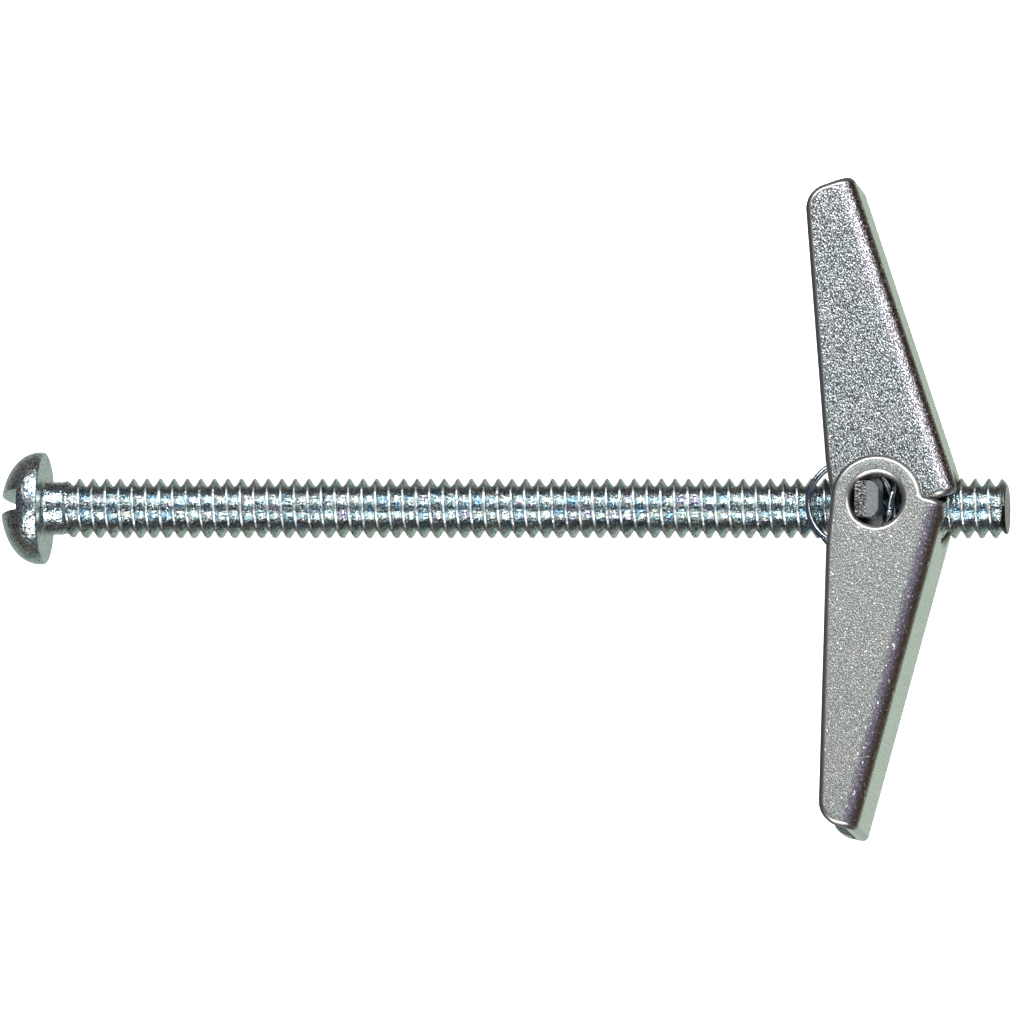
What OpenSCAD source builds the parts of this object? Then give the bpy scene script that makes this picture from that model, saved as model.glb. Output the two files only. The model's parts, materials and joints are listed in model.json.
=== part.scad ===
// Spring toggle bolt: a long slotted round-head machine screw with a two-tab trunnion nut,
// two channel-shaped wings that hang on the tabs, and a torsion spring that holds them open.
// The screw lies along +X, its tip at the far end. The wings spread along +Y and -Y, and
// their pivot runs along Z. The origin is the centre of the face under the screw's head.

/* [Screw] */
// Length from under the head to the tip
screw_len = 75.05; // [68:0.05:100]
// Outside diameter of the thread
thread_d = 4.65; // [4:0.05:4.8]
// Depth of the thread, crest to root
thread_depth = 0.6; // [0.3:0.05:0.9]
// Distance from one turn of the thread to the next
pitch = 1.058; // [0.8:0.001:1.6]
// Width of the flat on each crest
crest_flat = 0.13; // [0.05:0.01:0.25]
// Width of the flat at each root
root_flat = 0.11; // [0.05:0.01:0.2]
// Length of the plain neck under the head
neck_len = 1.35; // [0.8:0.05:3]
// Diameter of the plain neck
neck_d = 4.1; // [3.6:0.05:4.2]
// Fillet between the neck and the head
neck_fillet = 0.36; // [0.3:0.02:0.6]
// Length of the bevel at the tip
tip_bevel = 0.75; // [0.3:0.05:1.2]
// Depth of the bevel at the tip
tip_cut = 0.6; // [0.2:0.05:0.9]

/* [Screw head] */
// Diameter of the head
head_d = 8.7; // [7.5:0.1:10]
// Height of the head
head_h = 3.4; // [2.6:0.1:4.5]
// Height of the straight rim under the dome
rim_h = 0.45; // [0.2:0.05:0.8]
// Rounding at the rim's lower edge
rim_round = 0.22; // [0.1:0.02:0.3]
// Width of the driver slot
slot_w = 1.6; // [1:0.05:1.9]
// Depth of the driver slot
slot_depth = 1.75; // [1:0.05:2.2]
// Turn of the slot about the screw, measured from Z
slot_turn = -3; // [-90:1:90]

/* [Trunnion nut] */
// Distance of the nut's mid plane from the screw's tip
nut_back = 10.3; // [9.5:0.1:30]
// Thickness of the nut's plate
plate_t = 1.8; // [1.4:0.05:2.2]
// Width of the plate across the screw
plate_w = 7; // [6.2:0.1:8]
// Rounding at the plate's corners
plate_corner = 1; // [0.5:0.1:1.5]
// Width of each tab
tab_w = 2.8; // [2.2:0.05:3]
// Rounding along the tabs' two edges towards the head
tab_round = 0.4; // [0.2:0.05:0.6]
// Rounding along the tabs' two edges towards the tip
tab_back_round = 0.8; // [0.4:0.05:0.9]
// How far each tab stands out of the wings
tab_proud = 0.3; // [0.1:0.05:1]
// Wall of the collar round the screw
collar_wall = 0.5; // [0.35:0.05:0.55]
// Length of the collar, towards the head
collar_len = 1.3; // [0.6:0.1:2]
// Radial clearance between the nut and the thread
thread_clear = 0.05; // [0.02:0.01:0.08]

/* [Wings] */
// Length of a wing from its pivot to its tip
wing_len = 25.5; // [20:0.5:32]
// Width of a wing over its two sides
wing_w = 9; // [8.9:0.05:10]
// Thickness of the wings' sheet
sheet_t = 0.95; // [0.8:0.05:1]
// Outside radius of the bends
bend_r = 1.4; // [1.1:0.05:1.8]
// Radius of the round ear about the pivot
ear_r = 3.5; // [3.2:0.05:3.8]
// Radius of the pivot hole
pivot_r = 2; // [1.9:0.05:2.2]
// Distance from the pivot to the free edge
edge_d = 3.75; // [3.5:0.05:4.2]
// Distance from the pivot to the outer face of the upper wing's web
upper_web_d = 6.05; // [5.6:0.05:6.6]
// Distance from the pivot to the outer face of the lower wing's web
lower_web_d = 5.2; // [5.1:0.05:6]
// Angle between the web and the free edge
web_taper = 13.7; // [11:0.1:15]
// Rounding at the tip's free corner
tip_round = 1.9; // [0.5:0.1:2.5]
// Fillet between the ear and the heel
heel_fillet = 0.45; // [0.2:0.05:0.8]
// Lean of the open upper wing towards the head
upper_lean = 5.5; // [3:0.1:7]
// Lean of the open lower wing towards the head
lower_lean = 0.6; // [0:0.1:4]
// Gap between the heels of the open wings
heel_gap = 0.2; // [0.05:0.01:0.4]
// Gap between the two wings' sides
side_gap = 0.08; // [0.05:0.01:0.2]
// Clearance round the screw in the web's notch
notch_clear = 0.3; // [0.2:0.05:0.6]

/* [Spring] */
// Diameter of the spring wire
wire_d = 0.5; // [0.4:0.02:0.54]
// Radius of the coil at the middle of the wire
coil_r = 3.23; // [3.1:0.01:3.35]
// Angle by which each leg turns out from a full turn
leg_spread = 10; // [8:0.5:13]
// Clearance between the spring and what it touches
spring_clear = 0.06; // [0.04:0.01:0.08]
// Bend radius at the ends of the bridge
bridge_bend = 0.8; // [0.6:0.05:1.2]
// Extra room between the coil and the tabs
coil_slack = 0.35; // [0.2:0.05:0.45]

/* [Hidden] */
$fn = 96;
past = 1;
arc_steps = 9;
dome_steps = 16;
wire_sides = 8;
coil_steps = 44;
leg_steps = 16;
hair = 0.005;

thread_r = thread_d / 2;
root_r = thread_r - thread_depth;
turns = ceil((screw_len - neck_len) / pitch);
face_r = head_d / 2 - rim_round;
dome_h = head_h - rim_h;

bore_r = thread_r + thread_clear;
collar_r = bore_r + collar_wall;
side_shift = (sheet_t + side_gap) / 2;
inner_side = wing_w / 2 - side_shift - sheet_t;
outer_side = wing_w / 2 + side_shift;
tab_end = outer_side + tab_proud;

// The tab's two head-side corners run in the pivot holes, with the thread's clearance.
tab_corner_y = tab_w / 2 - tab_round;
tab_reach = sqrt(pow(pivot_r - thread_clear - tab_round, 2) - pow(tab_corner_y, 2)) + tab_round;
nut_x = screw_len - nut_back;
pivot_x = nut_x - plate_t / 2 + tab_reach;

// In a wing's own frame the pivot is the origin and the free edge runs along +Y.
mean_lean = (upper_lean + lower_lean) / 2;
heel_u = heel_level(min(upper_web_d, lower_web_d) - sheet_t, mean_lean + web_taper);
notch_r = thread_r + notch_clear;

// The coil hooks round the tabs' far side and lies between the plate and the wings' sides.
wire_r = wire_d / 2;
plate_side = inner_side - 2 * spring_clear - wire_d - hair;
coil_z = inner_side - spring_clear - wire_r;
coil_x = plate_t - tab_reach + 2 * spring_clear + wire_r - coil_r + coil_slack;
cross_dip = 0.1;
cross_low = max(thread_r + wire_r + spring_clear / 3, coil_z - cross_dip);
cross_high = cross_low + wire_d + spring_clear;
cross_flat = 0.6;
cross_ramp = 1;

function unit(v) = v / norm(v);
function turned(p, a) = [p.x * cos(a) - p.y * sin(a), p.x * sin(a) + p.y * cos(a)];
function arc(c, r, a, b, n) = [for (i = [0:n]) c + r * [cos(a + (b - a) * i / n), sin(a + (b - a) * i / n)]];

// Place along the web of a heel that leaves half the heel gap at a face d from the pivot,
// where the web's normal leans by a from the screw.
function heel_level(d, a) = (heel_gap / 2 - d * sin(a)) / cos(a);

// The arc that rounds the corner b between a and c.
function rounded(a, b, c, r, n) =
    let (u = unit(a - b), v = unit(c - b), half = acos(u * v) / 2)
    let (m = b + unit(u + v) * r / sin(half), p = b + u * r / tan(half) - m, q = b + v * r / tan(half) - m)
    let (start = atan2(p.y, p.x), turn = atan2(p.x * q.y - p.y * q.x, p * q))
    arc(m, r, start, start + turn, n);

// Place along the web of the tip of a wing whose web is at distance d.
function tip_level(d) = (wing_len - d * sin(web_taper)) / cos(web_taper);

// Where the free edge meets the line across the web at distance u along it.
function edge_point(u) = [-edge_d, (u - edge_d * sin(web_taper)) / cos(web_taper)];

module along_x() {
    rotate([90, 0, 90]) children();
}

// One profile of the whole screw, turned about its axis. The rings stand one pitch apart.
module shank_profile() {
    flank = (pitch - crest_flat - root_flat) / 2;
    tip_r = thread_r - tip_cut;
    rings = [for (i = [0:turns - 1], k = [0:3])
        let (x = neck_len + i * pitch + [0, flank, flank + crest_flat, 2 * flank + crest_flat][k])
        [[root_r, thread_r, thread_r, root_r][k], x]];
    thread_end = neck_len + (turns + 1) * pitch;
    fillet = arc([neck_d / 2 + neck_fillet, neck_fillet], neck_fillet, 270, 180, arc_steps);
    intersection() {
        polygon(concat([[0, -rim_h]], [[neck_d / 2 + neck_fillet, -rim_h]], fillet,
            [[neck_d / 2, neck_len], [root_r, neck_len]], rings, [[root_r, thread_end], [0, thread_end]]));
        polygon([[0, -head_h], [head_d, -head_h], [head_d, screw_len - tip_bevel],
            [thread_r, screw_len - tip_bevel], [tip_r, screw_len], [0, screw_len]]);
    }
}

module head_profile() {
    dome = [for (i = [0:dome_steps])
        [head_d / 2 * sin(90 * i / dome_steps), -rim_h - dome_h * cos(90 * i / dome_steps)]];
    rim = arc([face_r, -rim_round], rim_round, 0, 90, arc_steps);
    polygon(concat(dome, rim, [[0, 0]]));
}

module screw() {
    color("silver") difference() {
        rotate([0, 90, 0]) rotate_extrude() {
            shank_profile();
            head_profile();
        }
        rotate([slot_turn, 0, 0])
            translate([-head_h - past, -slot_w / 2, -head_d])
            cube([slot_depth + past, slot_w, 2 * head_d]);
    }
}

// A stamped plate, drawn out into a collar on the head side, with a tab at each end.
module plate_outline() {
    w = plate_w / 2;
    h = plate_side;
    corners = [[w, h], [-w, h], [-w, -h], [w, -h]];
    polygon([for (i = [0:3])
        each rounded(corners[(i + 3) % 4], corners[i], corners[(i + 1) % 4], plate_corner, arc_steps)]);
}

module tab_outline() {
    l = plate_t / 2;
    w = tab_w / 2;
    corners = [[l, w], [-l, w], [-l, -w], [l, -w]];
    rounds = [tab_back_round, tab_round, tab_round, tab_back_round];
    polygon([for (i = [0:3])
        each rounded(corners[(i + 3) % 4], corners[i], corners[(i + 1) % 4], rounds[i], arc_steps)]);
}

module trunnion_nut() {
    color("gray") translate([nut_x, 0, 0]) difference() {
        union() {
            translate([-plate_t / 2, 0, 0]) along_x() linear_extrude(plate_t) plate_outline();
            translate([0, 0, -tab_end]) linear_extrude(2 * tab_end) tab_outline();
            translate([-plate_t / 2 - collar_len, 0, 0]) rotate([0, 90, 0])
                cylinder(r = collar_r, h = collar_len + past / 2);
        }
        translate([-plate_t / 2 - collar_len - past, 0, 0]) rotate([0, 90, 0])
            cylinder(r = bore_r, h = plate_t + collar_len + 2 * past);
    }
}

// The section across a wing with its web at distance d: a channel with rounded bends, open to the head.
module channel_section(d) {
    depth = 3 * ear_r;
    module bent(x, h, r) {
        polygon(concat([[-depth, -h]], arc([x - r, r - h], r, -90, 0, arc_steps),
            arc([x - r, h - r], r, 0, 90, arc_steps), [[-depth, h]]));
    }
    difference() {
        bent(d, wing_w / 2, bend_r);
        translate([-past, 0]) bent(d - sheet_t + past, wing_w / 2 - sheet_t, bend_r - sheet_t);
    }
}

// The side of a wing: the web's line, the tip, the free edge, the ear about the pivot and the heel.
module side_profile(d) {
    web_a = turned([d, heel_u], web_taper);
    web_b = turned([d, tip_level(d)], web_taper);
    tip_edge = edge_point(tip_level(d));
    edge_start = [-edge_d, ear_r];
    heel_c = [sqrt(pow(ear_r + heel_fillet, 2) - pow(heel_u - heel_fillet, 2)), heel_u - heel_fillet];
    heel_a = atan2(heel_c.y, heel_c.x) + web_taper;
    ear = arc([0, 0], ear_r, 180, 360 + heel_a, 4 * arc_steps);
    fillet = arc(turned(heel_c, web_taper), heel_fillet, 180 + heel_a, 90 + web_taper, arc_steps);
    polygon(concat([web_a, web_b], rounded(web_b, tip_edge, edge_start, tip_round, arc_steps),
        [edge_start], ear, fillet));
}

// A wing with its web at distance d, notched for the screw that it straddles when it stands open.
module wing(d, lean) {
    difference() {
        intersection() {
            rotate([0, 0, web_taper]) translate([0, tip_level(d), 0]) rotate([90, 0, 0])
                linear_extrude(tip_level(d) + 2 * ear_r) channel_section(d);
            translate([0, 0, -wing_w / 2 - past]) linear_extrude(wing_w + 2 * past) side_profile(d);
        }
        translate([0, 0, -wing_w / 2 - past]) cylinder(r = pivot_r, h = wing_w + 2 * past);
        translate([0, 0, side_shift]) rotate([0, 0, -lean]) rotate([0, 90, 0])
            cylinder(r = notch_r, h = 2 * d);
    }
}

module upper_wing() {
    color("darkgray") translate([pivot_x, 0, -side_shift]) rotate([0, 0, upper_lean])
        wing(upper_web_d, upper_lean);
}

// A like stamping, turned half a turn about the screw.
module lower_wing() {
    color("lightgray") translate([pivot_x, 0, side_shift]) rotate([180, 0, 0]) rotate([0, 0, lower_lean])
        wing(lower_web_d, lower_lean);
}

// Height of the wire above its mid plane where the two ends of the coil cross.
function cross_share(y) =
    let (s = min(1, max(0, (cross_flat + cross_ramp - abs(y)) / cross_ramp))) s * s * (3 - 2 * s);
function wire_z(y, top) = coil_z + (top - coil_z) * cross_share(y);

// A leg leaves the coil at a slant and ends just clear of the web's inner face.
leg_foot = [coil_x + coil_r * cos(leg_spread), coil_r * sin(leg_spread)];
function leg_reach(d, a) =
    let (gap = d - sheet_t - wire_r - spring_clear - leg_foot.x * cos(a) + leg_foot.y * sin(a))
    gap / sin(a + leg_spread);
function leg_points(d, lean, cut) =
    let (reach = leg_reach(d, lean + web_taper) - cut, way = [sin(leg_spread), cos(leg_spread)])
    [for (i = [0:leg_steps]) leg_foot - [0, 2 * leg_foot.y] + reach * (i / leg_steps) * way];

upper_leg = [for (p = leg_points(upper_web_d, upper_lean, 0)) [p.x, p.y, wire_z(p.y, cross_high)]];
lower_leg = [for (p = leg_points(lower_web_d, lower_lean, bridge_bend)) [p.x, -p.y, wire_z(p.y, cross_low)]];
coil = [for (i = [1:coil_steps - 1])
    let (a = -leg_spread - (360 - 2 * leg_spread) * i / coil_steps, y = coil_r * sin(a), x = coil_x + coil_r * cos(a))
    [x, y, wire_z(y + (x < coil_x ? 2 * coil_r : 0), y < 0 ? cross_high : cross_low)]];
bridge_end = lower_leg[len(lower_leg) - 1];
bridge_dir = unit(bridge_end - lower_leg[len(lower_leg) - 2]);
bridge_arc = [for (i = [1:arc_steps])
    bridge_end + bridge_bend * (sin(90 * i / arc_steps) * bridge_dir - [0, 0, 1 - cos(90 * i / arc_steps)])];
half_wire = concat([for (i = [len(upper_leg) - 1:-1:0]) upper_leg[i]], coil, lower_leg, bridge_arc);
wire_path = concat(half_wire, [for (i = [len(half_wire) - 1:-1:0]) [half_wire[i].x, half_wire[i].y, -half_wire[i].z]]);

// A round wire swept along a path, its section carried on without twist.
module swept_wire(path, r, sides) {
    last = len(path) - 1;
    ways = [for (i = [0:last]) unit(path[min(i + 1, last)] - path[max(i - 1, 0)])];
    across = [for (i = 0, n = unit(cross(ways[0], [0, 0, 1])); i <= last;
        i = i + 1, n = i > last ? n : unit(n - (n * ways[i]) * ways[i])) n];
    rings = [for (i = [0:last], k = [0:sides - 1])
        path[i] + r * (cos(360 * k / sides) * across[i] + sin(360 * k / sides) * cross(ways[i], across[i]))];
    faces = concat([[for (k = [0:sides - 1]) k]], [[for (k = [sides - 1:-1:0]) last * sides + k]],
        [for (i = [0:last - 1], k = [0:sides - 1]) let (m = (k + 1) % sides)
            [i * sides + k, (i + 1) * sides + k, (i + 1) * sides + m, i * sides + m]]);
    polyhedron(rings, faces, convexity = 6);
}

module torsion_spring() {
    color("dimgray") translate([pivot_x, 0, 0]) swept_wire(wire_path, wire_r, wire_sides);
}

screw();
trunnion_nut();
upper_wing();
lower_wing();
torsion_spring();
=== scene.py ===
import json
import math

import bmesh
import bpy
import numpy as np
from mathutils import Matrix, Vector
from mathutils.geometry import delaunay_2d_cdt


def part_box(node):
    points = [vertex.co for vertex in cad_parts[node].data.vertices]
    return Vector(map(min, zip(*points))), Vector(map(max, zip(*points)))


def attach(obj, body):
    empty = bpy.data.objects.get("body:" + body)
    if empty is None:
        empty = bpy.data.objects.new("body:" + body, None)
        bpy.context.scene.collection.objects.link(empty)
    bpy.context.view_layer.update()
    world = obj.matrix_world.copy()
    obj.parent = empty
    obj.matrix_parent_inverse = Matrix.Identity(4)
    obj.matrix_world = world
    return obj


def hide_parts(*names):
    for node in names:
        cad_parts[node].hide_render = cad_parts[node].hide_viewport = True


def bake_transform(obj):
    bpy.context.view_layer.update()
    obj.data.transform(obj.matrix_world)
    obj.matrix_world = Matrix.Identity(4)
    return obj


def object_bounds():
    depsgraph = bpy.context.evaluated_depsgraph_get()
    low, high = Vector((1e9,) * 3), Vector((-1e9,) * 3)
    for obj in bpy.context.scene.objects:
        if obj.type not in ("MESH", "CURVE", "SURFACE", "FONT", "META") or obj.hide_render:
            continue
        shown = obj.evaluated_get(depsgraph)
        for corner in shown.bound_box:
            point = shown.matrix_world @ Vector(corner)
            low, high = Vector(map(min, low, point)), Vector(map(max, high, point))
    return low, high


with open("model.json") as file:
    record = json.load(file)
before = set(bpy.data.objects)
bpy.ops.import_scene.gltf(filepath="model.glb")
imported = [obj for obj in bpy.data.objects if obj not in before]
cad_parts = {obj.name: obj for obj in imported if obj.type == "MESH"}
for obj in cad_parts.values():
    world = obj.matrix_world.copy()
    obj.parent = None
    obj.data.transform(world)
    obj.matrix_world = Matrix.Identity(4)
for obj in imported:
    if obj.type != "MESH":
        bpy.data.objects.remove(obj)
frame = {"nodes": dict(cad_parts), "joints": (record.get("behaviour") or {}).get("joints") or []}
cad_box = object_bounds()
MM = 0.001

# The studio. A small bright object lies on a white sheet under two long soft boxes, one on
# each side of the lens, and a small one past the screw's tip. The ceiling between them is dim
# and the walls are dark, which gives the plated steel its dark bands.


def sheet_colour(code):
    """The linear colour of an sRGB hex value such as "c8ccc9"."""
    parts = [int(code[i:i + 2], 16) / 255 for i in (0, 2, 4)]
    return [*(c / 12.92 if c <= 0.04045 else ((c + 0.055) / 1.055) ** 2.4 for c in parts), 1.0]


def add(tree, kind, settings=None, links=None, stops=()):
    """Adds a node. Settings are its properties or its sockets' values, and links its sockets'
    sources. Stops are a colour ramp's places from 0 to 1, each with a hex colour or a grey level."""
    made = tree.nodes.new(kind)
    for name, value in (settings or {}).items():
        if isinstance(name, str) and hasattr(made, name):
            setattr(made, name, value)
        else:
            made.inputs[name].default_value = value
    for name, source in (links or {}).items():
        tree.links.new(source, made.inputs[name])
    for _ in stops[2:]:
        made.color_ramp.elements.new(1.0)
    for number, (spot, tone) in enumerate(stops):
        made.color_ramp.elements[number].position = spot
        level = sheet_colour(tone) if isinstance(tone, str) else (tone, tone, tone, 1)
        made.color_ramp.elements[number].color = level
    return made


def place(thing, name, matrix):
    """Links a new object that shows this data."""
    made = bpy.data.objects.new(name, thing)
    made.matrix_world = matrix
    bpy.context.scene.collection.objects.link(made)
    return made


# The lens looks down from 1.2 m, and leans a little towards the screw's tip and the lower wing.
lens_way = Vector((0.148, -0.14, 0.978)).normalized()
lens_distance = 1.2
near_clip = 0.05
view_width = 79.0 * MM
aim = Vector((36.55, -0.28, 0)) * MM
right = (Vector((1, 0, 0)) - lens_way.x * lens_way).normalized()
up = lens_way.cross(right)
lens = bpy.data.cameras.new("lens")
lens.sensor_width = 36
lens.lens = lens.sensor_width * lens_distance / view_width
lens.clip_start = near_clip
turned = Matrix((right, up, lens_way)).transposed().to_4x4()
stand = Matrix.Translation(aim + lens_way * lens_distance)
bpy.context.scene.camera = place(lens, "camera", stand @ turned)

# Matt white paper, a little brighter than its light makes it, so that it burns out to white.
middle = (cad_box[0] + cad_box[1]) / 2
floor_half = 3.0
floor_mesh = bpy.data.meshes.new("floor")
corners = [(-1, -1), (1, -1), (1, 1), (-1, 1)]
floor_mesh.from_pydata([(x * floor_half, y * floor_half, 0) for x, y in corners], [], [(0, 1, 2, 3)])
floor = place(floor_mesh, "floor", Matrix.Translation((middle.x, middle.y, cad_box[0].z)))
paper = bpy.data.materials.new("white_paper")
paper.use_nodes = True
glow = {"Base Color": sheet_colour("f4f4f2"), "Roughness": 1.0,
        "Emission Color": sheet_colour("ffffff"), "Emission Strength": 0.8}
for socket, value in glow.items():
    paper.node_tree.nodes["Principled BSDF"].inputs[socket].default_value = value
floor_mesh.materials.append(paper)
floor.visible_glossy = False

# Each soft box: its turn about the vertical and its tilt from it in degrees, its width and
# length in metres, and its power in watts.
box_distance = 0.7
soft_boxes = [("rear", 90, 39, (0.2, 0.85), 6),
              ("front", -90, 42, (0.22, 0.85), 6),
              ("tip_side", 32, 52, (0.34, 0.36), 2)]
for side, turn, tilt, size, power in soft_boxes:
    soft_box = bpy.data.lights.new(side + "_soft_box", "AREA")
    soft_box.shape = "RECTANGLE"
    soft_box.size, soft_box.size_y = size
    soft_box.energy = power
    about = (Matrix.Translation((middle.x, middle.y, 0))
             @ Matrix.Rotation(math.radians(turn), 4, "Z")
             @ Matrix.Rotation(math.radians(tilt), 4, "Y"))
    place(soft_box, side + "_soft_box", about @ Matrix.Translation((0, 0, box_distance)))

# What the metal mirrors: pale table at the bottom, dark walls, and a blue-grey ceiling.
room = bpy.data.worlds.new("room")
bpy.context.scene.world = room
room.use_nodes = True
tree = room.node_tree
tree.nodes.clear()
way = add(tree, "ShaderNodeTexCoord")
split = add(tree, "ShaderNodeSeparateXYZ", links={0: way.outputs["Generated"]})
height = add(tree, "ShaderNodeMapRange", {"From Min": -1.0}, {"Value": split.outputs["Z"]})
walls = add(tree, "ShaderNodeValToRGB", links={0: height.outputs[0]},
            stops=[(0.0, "cad7cd"), (0.1, "c0ccc0"), (0.25, "7d7670"), (0.34, "605753"),
                   (0.5, "574f52"), (0.75, "4b515e"), (1.0, "586272")])
seen = add(tree, "ShaderNodeLightPath")
plain = add(tree, "ShaderNodeMix", {"data_type": "RGBA", 7: sheet_colour("f2f2f0")},
            {0: seen.outputs["Is Camera Ray"], 6: walls.outputs[0]})
sky = add(tree, "ShaderNodeBackground", {"Strength": 1.0}, {"Color": plain.outputs[2]})
add(tree, "ShaderNodeOutputWorld", links={"Surface": sky.outputs[0]})
bpy.context.scene.view_settings.view_transform = "Standard"

# The screw. A cold-headed steel machine screw with rolled thread and bright zinc plate. The
# thread is one right-hand helix, which fades out into the plain neck under the head.


def new_piece(name, points, faces, material):
    """A smooth-shaded mesh piece, with its points in metres in the row frame."""
    mesh = bpy.data.meshes.new(name)
    mesh.from_pydata([tuple(p) for p in points], [], faces)
    mesh.validate()
    mesh.polygons.foreach_set("use_smooth", [True] * len(mesh.polygons))
    mesh.materials.append(material)
    mesh.update()
    return place(mesh, name, Matrix.Identity(4))


def plated(name, base, rough):
    """A metal material, with its nodes ready for colour and bump."""
    made = bpy.data.materials.new(name)
    made.use_nodes = True
    shader = made.node_tree.nodes["Principled BSDF"]
    shader.inputs["Metallic"].default_value = 1.0
    shader.inputs["Base Color"].default_value = sheet_colour(base)
    shader.inputs["Roughness"].default_value = rough
    return made, made.node_tree, shader


def ease(value):
    """A smooth step from 0 to 1."""
    share = min(1.0, max(0.0, value))
    return share * share * (3 - 2 * share)


def arc(centre, radius, start, end, steps):
    """Points on an arc in a plane, with its angles in degrees."""
    angles = [math.radians(start + (end - start) * i / steps) for i in range(steps + 1)]
    return [(centre[0] + radius * math.cos(a), centre[1] + radius * math.sin(a)) for a in angles]


thread_r, root_r, neck_r, pitch = 2.325, 1.725, 2.05, 1.058
crest_phase = 1.615
lead_turns, spare_turns = 2.5, 4
neck_start, fade_start, fade_length = 0.8, 1.15, 1.5
tip_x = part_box("screw")[1].x / MM
tip_bevel, tip_r, least_r = 0.5, 1.95, 0.5
thread_steps = 72
cut_near = 1e-7
rounded_flank = [(0.0, 0.0), (0.05, 0.02), (0.12, 0.17), (0.22, 0.42), (0.32, 0.68), (0.40, 0.90),
                 (0.435, 0.975), (0.47, 1.0)]
thread_profile = rounded_flank + [(1 - along, height) for along, height in rounded_flank[:0:-1]]


def threaded_shank():
    """The helix as a strip that meets itself one turn on, cut square at the neck and the tip."""
    shape = bmesh.new()
    rows = int((tip_x - neck_start) / pitch + spare_turns) * thread_steps
    across = len(thread_profile)
    first_x = crest_phase - pitch * (math.floor((crest_phase - neck_start) / pitch) + lead_turns)
    grid = []
    for i in range(rows + thread_steps + 1):
        angle = 2 * math.pi * i / thread_steps
        for along, height in thread_profile if i <= rows else thread_profile[:1]:
            x = first_x + pitch * (i / thread_steps + along)
            full = root_r + (thread_r - root_r) * height
            r = neck_r + (full - neck_r) * ease((x - fade_start) / fade_length)
            bevel = tip_r + (thread_r - tip_r) * (tip_x - x) / tip_bevel
            r = min(r, max(bevel, least_r))
            grid.append(shape.verts.new((x * MM, r * math.cos(angle) * MM, r * math.sin(angle) * MM)))

    def at(i, j):
        """The point of a row, where the end of a profile is the start of the next turn's."""
        if j == across:
            i, j = i + thread_steps, 0
        return grid[i * across + j] if i <= rows else grid[(rows + 1) * across + i - rows - 1]

    for i in range(rows):
        for j in range(across):
            shape.faces.new((at(i, j), at(i + 1, j), at(i + 1, j + 1), at(i, j + 1)))
    for cut, way_out in ((neck_start, -1), (tip_x, 1)):
        found = bmesh.ops.bisect_plane(
            shape, geom=shape.verts[:] + shape.edges[:] + shape.faces[:], dist=cut_near,
            plane_co=(cut * MM, 0, 0), plane_no=(way_out, 0, 0), clear_outer=True)
        edges = [e for e in found["geom_cut"] if isinstance(e, bmesh.types.BMEdge)]
        bmesh.ops.edgeloop_fill(shape, edges=edges)
    bmesh.ops.recalc_face_normals(shape, faces=shape.faces[:])
    return shape


head_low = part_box("screw")[0]
head_r, head_h = -head_low.z / MM, 3.398
rim_h, rim_round, neck_fillet = 0.45, 0.22, 0.36
neck_overlap, neck_end_round = 0.05, 0.3
slot_w, slot_depth, slot_turn, slot_over = 1.6, 1.75, -3, 2
head_steps, dome_steps, rim_steps, neck_end_steps = 144, 36, 16, 6
head_sharp, shank_sharp = math.radians(7), math.radians(45)


def round_head():
    """The dome, rim, bearing face, fillet and plain neck as one turned profile, closed at the neck."""
    dome_h = head_h - rim_h
    outline = [(-rim_h - dome_h * math.cos(a), head_r * math.sin(a))
               for a in [math.radians(90 * i / dome_steps) for i in range(1, dome_steps + 1)]]
    outline += arc((-rim_round, head_r - rim_round), rim_round, 90, 0, rim_steps)
    outline += arc((neck_fillet, neck_r + neck_fillet), neck_fillet, 180, 270, rim_steps)
    neck_end = (neck_start + neck_overlap, neck_r - neck_end_round)
    outline += arc(neck_end, neck_end_round, 90, 0, neck_end_steps)
    around = [2 * math.pi * i / head_steps for i in range(head_steps)]
    points = [(-head_h, 0, 0)]
    for x, r in outline:
        points += [(x, r * math.cos(a), r * math.sin(a)) for a in around]
    faces = [(0, 1 + i, 1 + (i + 1) % head_steps) for i in range(head_steps)]
    for k in range(len(outline) - 1):
        for i in range(head_steps):
            a, b = 1 + k * head_steps + i, 1 + k * head_steps + (i + 1) % head_steps
            faces.append((a, a + head_steps, b + head_steps, b))
    faces.append(tuple(1 + (len(outline) - 1) * head_steps + i for i in reversed(range(head_steps))))
    return [Vector(p) * MM for p in points], faces


# Bright zinc from a barrel bath. It mirrors the studio in a clear film that runs from blue to
# straw and violet. The barrel dents it and handling rubs the crests matt. Their near-white colour
# is partly that wear and partly a painted highlight for the light their rounded edges catch. The
# tip is left brown and bare where it was sheared off. Its pits are drawn coarser than they are,
# at 0.14 mm, so that they show.
film_patch, dent, pit = 0.7, 0.42, 0.14
dent_depth, pit_depth = 0.065, 0.035
head_end, shank_finish_start = 0.2, 0.4
head_rough, shank_rough, crest_rough = 0.28, 0.22, 0.4
shear_depth, shear_edge, shear_slope = 0.3, 0.1, -0.15
bright_zinc, tree, shader = plated("bright_zinc_plate", "c4d0d4", shank_rough)
spot = add(tree, "ShaderNodeTexCoord").outputs["Object"]
film = add(tree, "ShaderNodeTexNoise", {"Scale": 1 / (film_patch * MM), "Detail": 2.0}, {"Vector": spot})
film_tone = add(tree, "ShaderNodeValToRGB", links={0: film.outputs["Fac"]},
                stops=[(0.3, "98b7cb"), (0.45, "c0d2d6"), (0.55, "d0d6cd"), (0.7, "b6b1c6")])
askew = add(tree, "ShaderNodeVectorMath", {"operation": "DOT_PRODUCT", 1: (1, shear_slope, 0)}, {0: spot})
sheared = add(tree, "ShaderNodeMapRange",
              {"From Min": (tip_x - shear_depth) * MM, "From Max": (tip_x - shear_edge) * MM},
              {"Value": askew.outputs["Value"]})
tone = add(tree, "ShaderNodeMix", {"data_type": "RGBA", 7: sheet_colour("5c4f47")},
           {0: sheared.outputs[0], 6: film_tone.outputs[0]})
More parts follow.
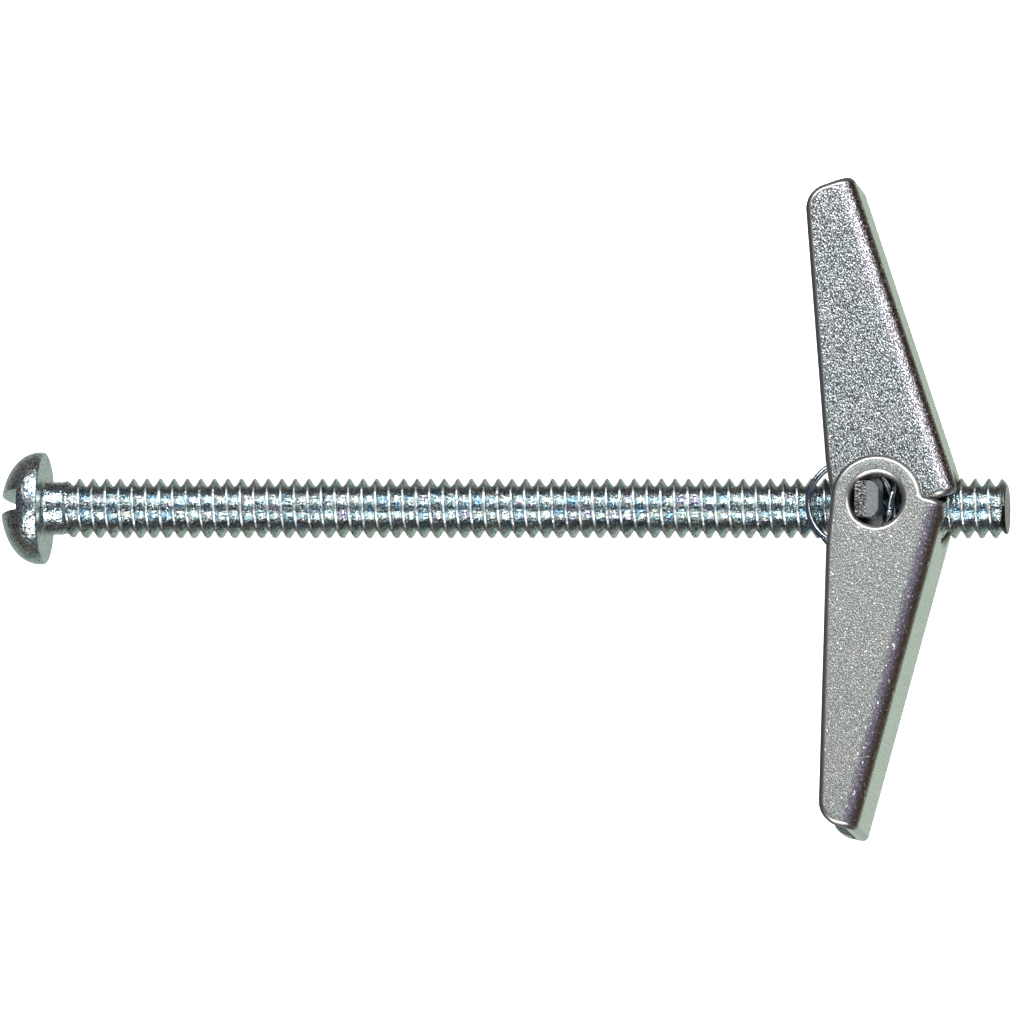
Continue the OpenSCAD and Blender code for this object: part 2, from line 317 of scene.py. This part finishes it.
split = add(tree, "ShaderNodeSeparateXYZ", links={0: spot})
past_head = add(tree, "ShaderNodeMapRange", {"From Min": head_end * MM, "From Max": shank_finish_start * MM},
                {"Value": split.outputs["X"]})
off_axis = add(tree, "ShaderNodeVectorMath", {"operation": "MULTIPLY", 1: (0, 1, 1)}, {0: spot})
from_axis = add(tree, "ShaderNodeVectorMath", {"operation": "LENGTH"}, {0: off_axis.outputs[0]})
crest_height = add(tree, "ShaderNodeMapRange", {"From Min": root_r * MM, "From Max": thread_r * MM},
                   {"Value": from_axis.outputs["Value"], "To Max": past_head.outputs[0]})
# Painted highlight: the crests turn near white, partly as rubbed wear and partly in place of the light their
# rounded edges catch.
crest_wear_and_highlight = add(tree, "ShaderNodeValToRGB", links={0: crest_height.outputs[0]},
           stops=[(0.6, 0.0), (0.9, 0.0), (0.99, 0.6)])
crest_wear_and_highlight_tone = add(tree, "ShaderNodeMix", {"data_type": "RGBA", 7: sheet_colour("f6f6f2")},
                 {0: crest_wear_and_highlight.outputs[0], 6: tone.outputs[2]})
head_gloss = add(tree, "ShaderNodeMapRange", {"To Min": head_rough, "To Max": shank_rough},
                 {"Value": past_head.outputs[0]})
gloss = add(tree, "ShaderNodeMapRange", {"To Max": crest_rough},
            {"Value": crest_wear_and_highlight.outputs[0], "To Min": head_gloss.outputs[0]})
tree.links.new(gloss.outputs[0], shader.inputs["Roughness"])
dents = add(tree, "ShaderNodeTexNoise", {"Scale": 1 / (dent * MM), "Detail": 1.0}, {"Vector": spot})
pits = add(tree, "ShaderNodeTexNoise", {"Scale": 1 / (pit * MM), "Detail": 1.0}, {"Vector": spot})
pit_tone = add(tree, "ShaderNodeValToRGB", links={0: pits.outputs["Fac"]},
               stops=[(0.37, "636c72"), (0.45, "ffffff")])
pitted = add(tree, "ShaderNodeMix", {"data_type": "RGBA", "blend_type": "MULTIPLY", 0: 1.0},
             {6: crest_wear_and_highlight_tone.outputs[2], 7: pit_tone.outputs[0]})
tree.links.new(pitted.outputs[2], shader.inputs["Base Color"])
waves = add(tree, "ShaderNodeBump", {"Distance": dent_depth * MM}, {"Height": dents.outputs["Fac"]})
grit = add(tree, "ShaderNodeBump", {"Distance": pit_depth * MM},
           {"Height": pits.outputs["Fac"], "Normal": waves.outputs[0]})
tree.links.new(grit.outputs[0], shader.inputs["Normal"])

turned_head = new_piece("screw_head_turned", *round_head(), bright_zinc)
cutter_mesh = bpy.data.meshes.new("slot_cutter")
cutter_shape = bmesh.new()
cutter_size = ((slot_depth + slot_over) * MM, slot_w * MM, 4 * head_r * MM, 1)
bmesh.ops.create_cube(cutter_shape, size=1.0, matrix=Matrix.Rotation(math.radians(slot_turn), 4, "X")
                      @ Matrix.Translation(((-head_h + (slot_depth - slot_over) / 2) * MM, 0, 0))
                      @ Matrix.Diagonal(cutter_size))
cutter_shape.to_mesh(cutter_mesh)
cutter = place(cutter_mesh, "slot_cutter", Matrix.Identity(4))
cut = turned_head.modifiers.new("slot", "BOOLEAN")
cut.operation, cut.object, cut.solver = "DIFFERENCE", cutter, "EXACT"
graph = bpy.context.evaluated_depsgraph_get()
screw = bmesh.new()
screw.from_mesh(turned_head.evaluated_get(graph).to_mesh())
bpy.data.objects.remove(turned_head)
bpy.data.objects.remove(cutter)
bmesh.ops.recalc_face_normals(screw, faces=screw.faces[:])
shank = threaded_shank()
for shape, sharp in ((screw, head_sharp), (shank, shank_sharp)):
    for edge in shape.edges:
        edge.smooth = edge.calc_face_angle(0) < sharp
shank_mesh = bpy.data.meshes.new("shank")
shank.to_mesh(shank_mesh)
screw.from_mesh(shank_mesh)
screw_mesh = bpy.data.meshes.new("screw_threaded")
screw.to_mesh(screw_mesh)
screw_mesh.materials.clear()
screw_mesh.materials.append(bright_zinc)
screw_mesh.polygons.foreach_set("use_smooth", [True] * len(screw_mesh.polygons))
screw_mesh.polygons.foreach_set("material_index", [0] * len(screw_mesh.polygons))
screw_piece = place(screw_mesh, "screw_threaded", Matrix.Identity(4))
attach(screw_piece, "screw")
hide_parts("screw")

# The trunnion nut. A thick stamped steel plate with a drawn collar and a tab at each end. Its
# tabs show in the wings' pivot holes. It keeps its solid's shape, and only takes a finish here.

# Dull zinc over a blanked edge. The punch leaves the edge smooth and pale for the first part
# of its way, and then tears it, rough and dark with pale flakes.
clean_depth, torn_depth = 0.8, 1.05
tear_grain, tear_relief, smooth_relief = 0.22, 0.06, 0.12
dull_zinc, tree, shader = plated("dull_zinc_on_sheared_steel", "a8a49b", 0.3)
nut_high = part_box("trunnion_nut")[1]
spot = add(tree, "ShaderNodeTexCoord").outputs["Object"]
split = add(tree, "ShaderNodeSeparateXYZ", links={0: spot})
torn = add(tree, "ShaderNodeMapRange",
           {"From Min": nut_high.x - clean_depth * MM, "From Max": nut_high.x - torn_depth * MM},
           {"Value": split.outputs["X"]})
tear = add(tree, "ShaderNodeTexNoise", {"Scale": 1 / (tear_grain * MM), "Detail": 3.0}, {"Vector": spot})
tear_tone = add(tree, "ShaderNodeValToRGB", links={0: tear.outputs["Fac"]},
                stops=[(0.35, "474240"), (0.5, "76716d"), (0.64, "bdbab6")])
clean_tone = add(tree, "ShaderNodeValToRGB", links={0: tear.outputs["Fac"]},
                 stops=[(0.3, "babdbb"), (0.7, "dfe1de")])
tone = add(tree, "ShaderNodeMix", {"data_type": "RGBA"},
           {0: torn.outputs[0], 6: clean_tone.outputs[0], 7: tear_tone.outputs[0]})
tree.links.new(tone.outputs[2], shader.inputs["Base Color"])
strength = add(tree, "ShaderNodeMapRange", {"To Min": smooth_relief}, {"Value": torn.outputs[0]})
bump = add(tree, "ShaderNodeBump", {"Distance": tear_relief * MM},
           {"Strength": strength.outputs[0], "Height": tear.outputs["Fac"]})
tree.links.new(bump.outputs[0], shader.inputs["Normal"])
nut = frame["nodes"]["trunnion_nut"]
nut.data.materials.clear()
nut.data.materials.append(dull_zinc)

# The wings. Two like stampings of sheet steel, bent into channels. Each blank is pierced, then
# folded along two bends, and its outer edges are rolled over by the die. Their ears hang on
# the nut's tabs, side by side.
joints = {j["name"]: j for j in frame["joints"]}
pivot = Vector(joints["upper_wing_fold"]["pos_m"])
wing_low, wing_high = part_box("upper_wing")
wing_w = (wing_high.z - wing_low.z) / MM
side_shift = -(wing_high.z + wing_low.z) / 2
sheet_t, bend_r, ear_r, pivot_r = 0.95, 1.4, 3.5, 2.0
edge_d, web_taper, wing_len = 3.75, 13.7, 25.5
upper_web_d, lower_web_d = 6.05, 5.2
tip_round, heel_fillet, heel_gap = 1.9, 0.45, 0.2
upper_lean, lower_lean = 5.5, 0.6
notch_r, notch_round, notch_steps, notch_trim = 2.625, 0.6, 40, 8
ear_steps, hole_steps, corner_steps, fillet_steps = 60, 72, 10, 8
roll_wide, roll_deep, roll_swell, roll_steps = 0.4, 0.22, 1.8, 10
burr_r, burr_steps = 0.08, 3
edge_step, face_step, edge_clear = 0.2, 0.8, 0.15
bend_steps, web_lines, side_lines, heel_reach = 10, 5, 11, 5
tiny = 1e-6

web_half = wing_w / 2 - bend_r
mid_r = bend_r - sheet_t / 2
bend_run = mid_r * math.pi / 2
side_start = web_half + bend_run
taper = math.radians(web_taper)
heel_tilt = math.radians((upper_lean + lower_lean) / 2) + taper
heel_rise = (min(upper_web_d, lower_web_d) - sheet_t) * math.sin(heel_tilt)
heel_u = (heel_gap / 2 - heel_rise) / math.cos(heel_tilt)


def web_frame(x, y):
    """A point of the wing's own frame, seen along the web: its height over the pivot and its
    place along the web."""
    return Vector((x * math.cos(taper) + y * math.sin(taper), y * math.cos(taper) - x * math.sin(taper)))


def round_off(a, b, c, radius):
    """The arc that rounds the corner b between a and c."""
    u, v = (a - b).normalized(), (c - b).normalized()
    half = u.angle(v) / 2
    centre = b + (u + v).normalized() * radius / math.sin(half)
    p, q = b + u * radius / math.tan(half) - centre, b + v * radius / math.tan(half) - centre
    turn = math.atan2(p.x * q.y - p.y * q.x, p.dot(q))
    start = math.atan2(p.y, p.x)
    angles = [start + turn * i / corner_steps for i in range(corner_steps + 1)]
    return [centre + radius * Vector((math.cos(angle), math.sin(angle))) for angle in angles]


def side_outline(web_d):
    """One side of the blank from the tip's bend to the heel's bend, in the web's frame."""
    tip_u = (wing_len - web_d * math.sin(taper)) / math.cos(taper)
    tip_edge = web_frame(-edge_d, (tip_u - edge_d * math.sin(taper)) / math.cos(taper))
    edge_start = web_frame(-edge_d, ear_r)
    tip = round_off(Vector((web_d - bend_r, tip_u)), tip_edge, edge_start, tip_round)
    out = heel_u - heel_fillet
    centre = Vector((math.sqrt((ear_r + heel_fillet) ** 2 - out ** 2), out))
    meet = math.degrees(math.atan2(centre.y, centre.x))
    ear = arc((0, 0), ear_r, 180 - web_taper, 360 + meet, ear_steps)
    fillet = arc(centre, heel_fillet, 180 + meet, 90, fillet_steps)
    return [*tip, edge_start, *(Vector(p) for p in ear), *(Vector(p) for p in fillet[1:])]


def blank_outline(web_d, lean):
    """The blank's edge, as places across the folded section and along the web. The notch in
    its heel clears the screw."""
    side = [(side_start + web_d - bend_r - p.x, p.y) for p in side_outline(web_d)]
    screw_tilt = math.radians(lean) + taper
    notch_w, notch_u = side_shift / MM, -(web_d - sheet_t / 2) * math.tan(screw_tilt)
    long_r = notch_r / math.cos(screw_tilt)
    lift = math.degrees(math.asin((heel_u - notch_u) / long_r))
    notch = [Vector((notch_w + notch_r * c, notch_u + long_r * s))
             for c, s in arc((0, 0), 1, lift, 180 - lift, notch_steps)]
    right_end, left_end = Vector((side_start, heel_u)), Vector((-side_start, heel_u))
    first = round_off(right_end, notch[0], notch[notch_trim], notch_round)
    last = round_off(notch[-1 - notch_trim], notch[-1], left_end, notch_round)
    return [*(Vector(p) for p in side), *first, *notch[notch_trim:-notch_trim], *last,
            *(Vector((-w, u)) for w, u in reversed(side))]


def evenly(loop, step):
    """The closed loop with points at most a step apart."""
    out = []
    for a, b in zip(loop, loop[1:] + loop[:1]):
        count = max(1, math.ceil((b - a).length / step))
        if (b - a).length > tiny:
            out += [a.lerp(b, i / count) for i in range(count)]
    return out


def inward(loop):
    """The unit way into the sheet at each point of a loop that has the sheet on its left."""
    ways = []
    for i in range(len(loop)):
        along = (loop[(i + 1) % len(loop)] - loop[i - 1]).normalized()
        ways.append(Vector((-along.y, along.x)))
    return ways


def folded(w, u, h, web_d):
    """A point of the sheet, a height h over its inner face, after the two bends."""
    side = 1 if w >= 0 else -1
    radius, bend_n = bend_r - sheet_t + h, web_d - bend_r
    over = abs(w) - web_half
    if over <= 0:
        return Vector((bend_n + radius, u, w))
    if over <= bend_run:
        angle = over / mid_r
        return Vector((bend_n + radius * math.cos(angle), u, side * (web_half + radius * math.sin(angle))))
    return Vector((bend_n - (over - bend_run), u, side * (web_half + radius)))


def wing_sheet(web_d, lean):
    """The folded sheet: two faces, and round every edge a rim that is rolled over outside and
    sharp inside. Also, for each point, whether it is on a rolled edge, how far round the bend
    it is from side to web, and whether it is inside the channel."""
    outline = evenly(blank_outline(web_d, lean), edge_step)
    pivot_w = side_start + web_d - bend_r
    area = sum(a.x * b.y - b.x * a.y for a, b in zip(outline, outline[1:] + outline[:1]))
    if area < 0:
        outline.reverse()
    loops = [outline]
    for side in (-1, 1):
        hole = arc((side * pivot_w, 0), pivot_r, 360, 0, hole_steps)[:-1]
        loops.append([Vector(p) for p in hole])
    rim = [(roll_wide * (1 - i / roll_steps), sheet_t - roll_deep * (i / roll_steps) ** roll_swell)
           for i in range(roll_steps + 1)]
    rim += [(burr_r * (1 - math.cos(a)), burr_r * (1 - math.sin(a)))
            for a in [math.pi / 2 * i / burr_steps for i in range(burr_steps + 1)]]
    points, faces, rings = [], [], []
    for loop in loops:
        ways = inward(loop)
        rows = []
        for deep, high in rim:
            rows.append(range(len(points), len(points) + len(loop)))
            points += [(*(p + deep * n), high) for p, n in zip(loop, ways)]
        for a, b in zip(rows, rows[1:]):
            faces += [(a[i], b[i], b[(i + 1) % len(loop)], a[(i + 1) % len(loop)]) for i in range(len(loop))]
        rings.append((rows[0], rows[-1]))
    bends = [web_half + bend_run * i / bend_steps for i in range(bend_steps + 1)]
    flats = [web_half * i / web_lines for i in range(web_lines)]
    flats += [side_start + face_step * i for i in range(1, side_lines + 1)]
    lines = sorted({s * w for w in bends + flats for s in (-1, 1)})
    levels = np.arange(-heel_reach, wing_len, face_step)
    for face, high in ((0, sheet_t), (1, 0.0)):
        edge_ids = [i for ring in rings for i in ring[face]]
        edge = np.array([points[i][:2] for i in edge_ids])
        inner = [(w, u) for w in lines for u in levels if np.hypot(*(edge - (w, u)).T).min() > edge_clear
                 and math.hypot(abs(w) - pivot_w, u) > pivot_r + roll_wide]
        flat = [Vector(p) for p in [*edge, *inner]]
        ties, owner = [], []
        for number, ring in enumerate(rings):
            start, count = len(owner), len(ring[face])
            ties += [(start + i, start + (i + 1) % count) for i in range(count)]
            owner += [number] * count
        found = delaunay_2d_cdt(flat, ties, [], 1, tiny)
        ids, hole = [], []
        for k, p in enumerate(found[0]):
            source = [s for s in found[3][k] if s < len(edge_ids)]
            hole.append(owner[source[0]] if source else 0)
            if source:
                ids.append(edge_ids[source[0]])
            else:
                ids.append(len(points))
                points.append((p.x, p.y, high))
        for tri in found[2]:
            if not (hole[tri[0]] and hole[tri[0]] == hole[tri[1]] == hole[tri[2]]):
                faces.append([ids[k] for k in (tri if face == 0 else reversed(tri))])
    used = sorted({i for f in faces for i in f})
    new = {old: k for k, old in enumerate(used)}
    rolled = len(rim) * sum(len(loop) for loop in loops)
    smooth = [float(i < rolled and tiny < points[i][2] < sheet_t - tiny) for i in used]
    turn = [min(1.0, max(0.0, (side_start - abs(points[i][0])) / bend_run)) for i in used]
    inside = [float(points[i][2] < tiny) for i in used]
    shares = {"smooth": smooth, "turn": turn, "inside": inside}
    return [folded(*points[i], web_d) for i in used], [[new[i] for i in f] for f in faces], shares


def hung(points, lean, flip, shift):
    """The folded sheet's points, hung on the nut's tabs."""
    turn = Matrix.Rotation(math.radians(lean + web_taper), 4, "Z")
    if flip:
        turn = Matrix.Rotation(math.pi, 4, "X") @ turn
    move = Matrix.Translation(pivot + Vector((0, 0, shift)))
    return [move @ turn @ (p * MM) for p in points]


# Coarse zinc on mill steel. The flats sparkle with bright grain and a few white nicks, under
# faint clouds in the plate. The bends press the grain flat, and the web and the rolled edges are
# glossier. The inside of the channel is painted a dark grey-green: painted shade, where the
# channel's own sides shade it. Grain and nicks are drawn coarser than they are, so that they show.
cloud, nick, grain_turn, grain_stretch, fleck_middle = 3.5, 0.2, 50, 0.75, 0.72
web_rough, roll_rough = 0.17, 0.34


def coarse_zinc(name, face_tone, bend_tone_and_shade, web_tone, cloud_tones, fleck, grain, relief, rough):
    """The plate of one wing. Its flecks darken the grain by a share, and grain and relief are
    the grain's width and height in millimetres."""
    made, tree, shader = plated(name, face_tone, rough)
    spot = add(tree, "ShaderNodeTexCoord").outputs["Object"]
    rolled_way = {"Rotation": (0, 0, math.radians(grain_turn)), "Scale": (1, grain_stretch, 1)}
    along_mill = add(tree, "ShaderNodeMapping", rolled_way, {"Vector": spot}).outputs[0]
    crystals = add(tree, "ShaderNodeTexNoise", {"Scale": 1 / (grain * MM), "Detail": 0.5},
                   {"Vector": along_mill})
    flecks = add(tree, "ShaderNodeValToRGB", links={0: crystals.outputs["Fac"]},
                 stops=[(0.36, 1 - fleck), (0.52, 1 - fleck_middle * fleck), (0.7, 1.0)])
    clouds = add(tree, "ShaderNodeTexNoise", {"Scale": 1 / (cloud * MM), "Detail": 2.0}, {"Vector": spot})
    tint = add(tree, "ShaderNodeValToRGB", links={0: clouds.outputs["Fac"]},
               stops=[(0.35, cloud_tones[0]), (0.65, cloud_tones[1])])
    nicks = add(tree, "ShaderNodeTexNoise", {"Scale": 1 / (nick * MM), "Detail": 0.0},
                {"Vector": along_mill})
    nicked = add(tree, "ShaderNodeValToRGB", links={0: nicks.outputs["Fac"]},
                 stops=[(0.5, 0.0), (0.725, 0.0), (0.78, 0.9)])
    smooth, turn, inside = [add(tree, "ShaderNodeAttribute", {"attribute_name": share}).outputs["Fac"]
                            for share in ("smooth", "turn", "inside")]
    tone = add(tree, "ShaderNodeValToRGB", links={0: turn},
               stops=[(0.02, face_tone), (0.2, bend_tone_and_shade), (0.42, bend_tone_and_shade), (0.55, "b9aba1"),
                      (0.9, "b4a69d"), (0.99, web_tone)])
    multiply = {"data_type": "RGBA", "blend_type": "MULTIPLY", 0: 1.0}
    stained = add(tree, "ShaderNodeMix", multiply, {6: tone.outputs[0], 7: tint.outputs[0]})
    flecked = add(tree, "ShaderNodeMix", multiply, {6: stained.outputs[2], 7: flecks.outputs[0]})
    colour = flecked.outputs[2]
    # The last of these paints the inside of the channel dark grey-green, as painted shade.
    for share, over_tone in ((nicked.outputs[0], "ffffff"), (smooth, "a5a4a1"), (inside, "66736f")):
        colour = add(tree, "ShaderNodeMix", {"data_type": "RGBA", 7: sheet_colour(over_tone)},
                     {0: share, 6: colour}).outputs[2]
    tree.links.new(colour, shader.inputs["Base Color"])
    on_web = add(tree, "ShaderNodeValToRGB", links={0: turn}, stops=[(0.5, rough), (0.95, web_rough)])
    on_roll = add(tree, "ShaderNodeMapRange", {"To Min": rough, "To Max": roll_rough}, {"Value": smooth})
    gloss = add(tree, "ShaderNodeMath", {"operation": "MINIMUM"},
                {0: on_roll.outputs[0], 1: on_web.outputs[0]})
    tree.links.new(gloss.outputs[0], shader.inputs["Roughness"])
    grain_left = add(tree, "ShaderNodeValToRGB", links={0: turn},
                     stops=[(0.4, 1.0), (0.55, 0.25), (0.9, 0.08)])
    off_edges = add(tree, "ShaderNodeMapRange", {"To Min": 1.0, "To Max": 0.15}, {"Value": smooth})
    strength = add(tree, "ShaderNodeMath", {"operation": "MULTIPLY"},
                   {0: grain_left.outputs[0], 1: off_edges.outputs[0]})
    bump = add(tree, "ShaderNodeBump", {"Distance": relief * MM},
               {"Strength": strength.outputs[0], "Height": crystals.outputs["Fac"]})
    tree.links.new(bump.outputs[0], shader.inputs["Normal"])
    return made


upper_look = {"face_tone": "e2e7e8", "bend_tone_and_shade": "e6e2ec", "web_tone": "f6f6e0",
              "cloud_tones": ("f0f5f3", "fbf8fa"),
              "fleck": 0.88, "grain": 0.11, "relief": 0.045, "rough": 0.4}
# The lower wing's bend tone is darker than the upper's. It is partly a purple-grey tint and partly painted
# shade.
lower_look = {"face_tone": "cacdca", "bend_tone_and_shade": "9d95a4", "web_tone": "f4fbf2",
              "cloud_tones": ("fbf8f4", "f3f5f3"),
              "fleck": 0.58, "grain": 0.095, "relief": 0.03, "rough": 0.42}
for name, body, web_d, lean, flip, shift, look in (
        ("upper_wing_sheet", "upper_wing", upper_web_d, upper_lean, False, -side_shift, upper_look),
        ("lower_wing_sheet", "lower_wing", lower_web_d, lower_lean, True, side_shift, lower_look)):
    points, faces, shares = wing_sheet(web_d, lean)
    finish = coarse_zinc(body + "_coarse_zinc_plate", **look)
    piece = new_piece(name, hung(points, lean, flip, shift), faces, finish)
    for share, values in shares.items():
        piece.data.attributes.new(share, "FLOAT", "POINT").data.foreach_set("value", values)
    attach(piece, body)
    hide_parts(body)

# The spring. One hard-drawn wire: a turn round the nut's tabs on each side, a leg into the
# upper wing from each, and a bridge that joins the legs in the lower wing. The turns stay with
# the nut.
wire_r, coil_r, leg_spread, spring_clear, bridge_bend = 0.25, 3.23, 10, 0.06, 0.8
plate_t, tab_w, tab_round, thread_clear = 1.8, 2.8, 0.4, 0.05
coil_slack, cross_dip, cross_flat, cross_ramp = 0.35, 0.1, 0.6, 1.0
wire_sides, coil_points, leg_count, turn_in_points = 20, 110, 40, 12
tab_corner = (pivot_r - thread_clear - tab_round) ** 2 - (tab_w / 2 - tab_round) ** 2
tab_reach = math.sqrt(tab_corner) + tab_round
inner_side = wing_w / 2 - side_shift / MM - sheet_t
coil_z = inner_side - spring_clear - wire_r
coil_x = plate_t - tab_reach + 2 * spring_clear + wire_r - coil_r + coil_slack
cross_low = max(thread_r + wire_r + spring_clear / 3, coil_z - cross_dip)
cross_high = cross_low + 2 * wire_r + spring_clear
spread = math.radians(leg_spread)
foot = Vector((coil_x + coil_r * math.cos(spread), coil_r * math.sin(spread)))


def wire_z(y, top):
    """The wire's height, which steps aside where the ends of a turn cross."""
    return coil_z + (top - coil_z) * ease((cross_flat + cross_ramp - abs(y)) / cross_ramp)


def leg(web_d, lean, cut, top, mirror):
    """A leg's centre line from the coil to just clear of the web's inner face."""
    web = math.radians(lean + web_taper)
    gap = web_d - sheet_t - wire_r - spring_clear - foot.x * math.cos(web) + foot.y * math.sin(web)
    reach = gap / math.sin(web + spread) - cut
    line = []
    for i in range(leg_count + 1):
        run = reach * i / leg_count
        y = -foot.y + run * math.cos(spread)
        line.append(Vector((foot.x + run * math.sin(spread), mirror * y, wire_z(y, top))))
    return line


def wire(path, points, faces):
    """Adds a round wire along the path, closed at both ends."""
    start = len(points)
    across = (path[1] - path[0]).cross(Vector((0, 0, 1))).normalized()
    for i, p in enumerate(path):
        along = (path[min(i + 1, len(path) - 1)] - path[max(i - 1, 0)]).normalized()
        across = (across - across.dot(along) * along).normalized()
        other = along.cross(across)
        for k in range(wire_sides):
            a = 2 * math.pi * k / wire_sides
            points.append(pivot + MM * (p + wire_r * (math.cos(a) * across + math.sin(a) * other)))
    for i in range(len(path) - 1):
        for k in range(wire_sides):
            a, b = start + i * wire_sides + k, start + i * wire_sides + (k + 1) % wire_sides
            faces.append((a, b, b + wire_sides, a + wire_sides))
    faces.append([start + k for k in reversed(range(wire_sides))])
    faces.append([len(points) - wire_sides + k for k in range(wire_sides)])


def coil_line():
    """One turn from the foot of the upper leg to the foot of the lower leg."""
    line = []
    for i in range(coil_points + 1):
        a = -spread - (2 * math.pi - 2 * spread) * i / coil_points
        x, y = coil_x + coil_r * math.cos(a), coil_r * math.sin(a)
        far = 2 * coil_r if x < coil_x else 0
        line.append(Vector((x, y, wire_z(y + far, cross_high if y < 0 else cross_low))))
    return line


def other_side(line):
    """The same line on the wings' far side."""
    return [Vector((p.x, p.y, -p.z)) for p in line]


upper_leg = leg(upper_web_d, upper_lean, 0, cross_high, 1)
lower_leg = leg(lower_web_d, lower_lean, bridge_bend, cross_low, -1)
ahead = (lower_leg[-1] - lower_leg[-2]).normalized()
turn_in = [lower_leg[-1] + bridge_bend * (math.sin(a) * ahead - (1 - math.cos(a)) * Vector((0, 0, 1)))
           for a in [math.pi / 2 * i / turn_in_points for i in range(1, turn_in_points + 1)]]
half_bridge = lower_leg + turn_in
coil = coil_line()

# Zinc on hard-drawn wire. Its dark steel-blue towards its outline is painted shade, set as the
# metal's edge tint, and it carries one bright line along its back. The die's marks break that line
# a little, and are drawn coarser than they are.
patch, die_mark, die_relief = 0.8, 0.12, 0.008
spring_zinc, tree, shader = plated("zinc_on_drawn_wire", "a8b2bc", 0.14)
# Painted shade: a dark steel-blue edge tint darkens the wire towards its outline.
shader.inputs["Specular Tint"].default_value = sheet_colour("2c353e")
spot = add(tree, "ShaderNodeTexCoord").outputs["Object"]
patches = add(tree, "ShaderNodeTexNoise", {"Scale": 1 / (patch * MM), "Detail": 2.0}, {"Vector": spot})
tone = add(tree, "ShaderNodeValToRGB", links={0: patches.outputs["Fac"]},
           stops=[(0.3, "8796aa"), (0.5, "a8b2bc"), (0.7, "b9bcb6")])
tree.links.new(tone.outputs[0], shader.inputs["Base Color"])
die_marks = add(tree, "ShaderNodeTexNoise", {"Scale": 1 / (die_mark * MM), "Detail": 1.0}, {"Vector": spot})
gloss = add(tree, "ShaderNodeValToRGB", links={0: die_marks.outputs["Fac"]},
            stops=[(0.35, 0.11), (0.65, 0.2)])
tree.links.new(gloss.outputs[0], shader.inputs["Roughness"])
bump = add(tree, "ShaderNodeBump", {"Distance": die_relief * MM}, {"Height": die_marks.outputs["Fac"]})
tree.links.new(bump.outputs[0], shader.inputs["Normal"])

spring_parts = {
    "spring_coils": [coil, other_side(coil)],
    "spring_upper_legs": [upper_leg, other_side(upper_leg)],
    "spring_lower_legs": [half_bridge + other_side(half_bridge)[::-1]],
}
for name, paths in spring_parts.items():
    points, faces = [], []
    for path in paths:
        wire(path, points, faces)
    piece = new_piece(name, points, faces, spring_zinc)
    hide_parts("torsion_spring")
    if name == "spring_coils":
        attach(piece, "nut")
    else:
        side = 1 if "upper" in name else -1
        body = "upper_wing" if side > 0 else "lower_wing"
        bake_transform(piece)
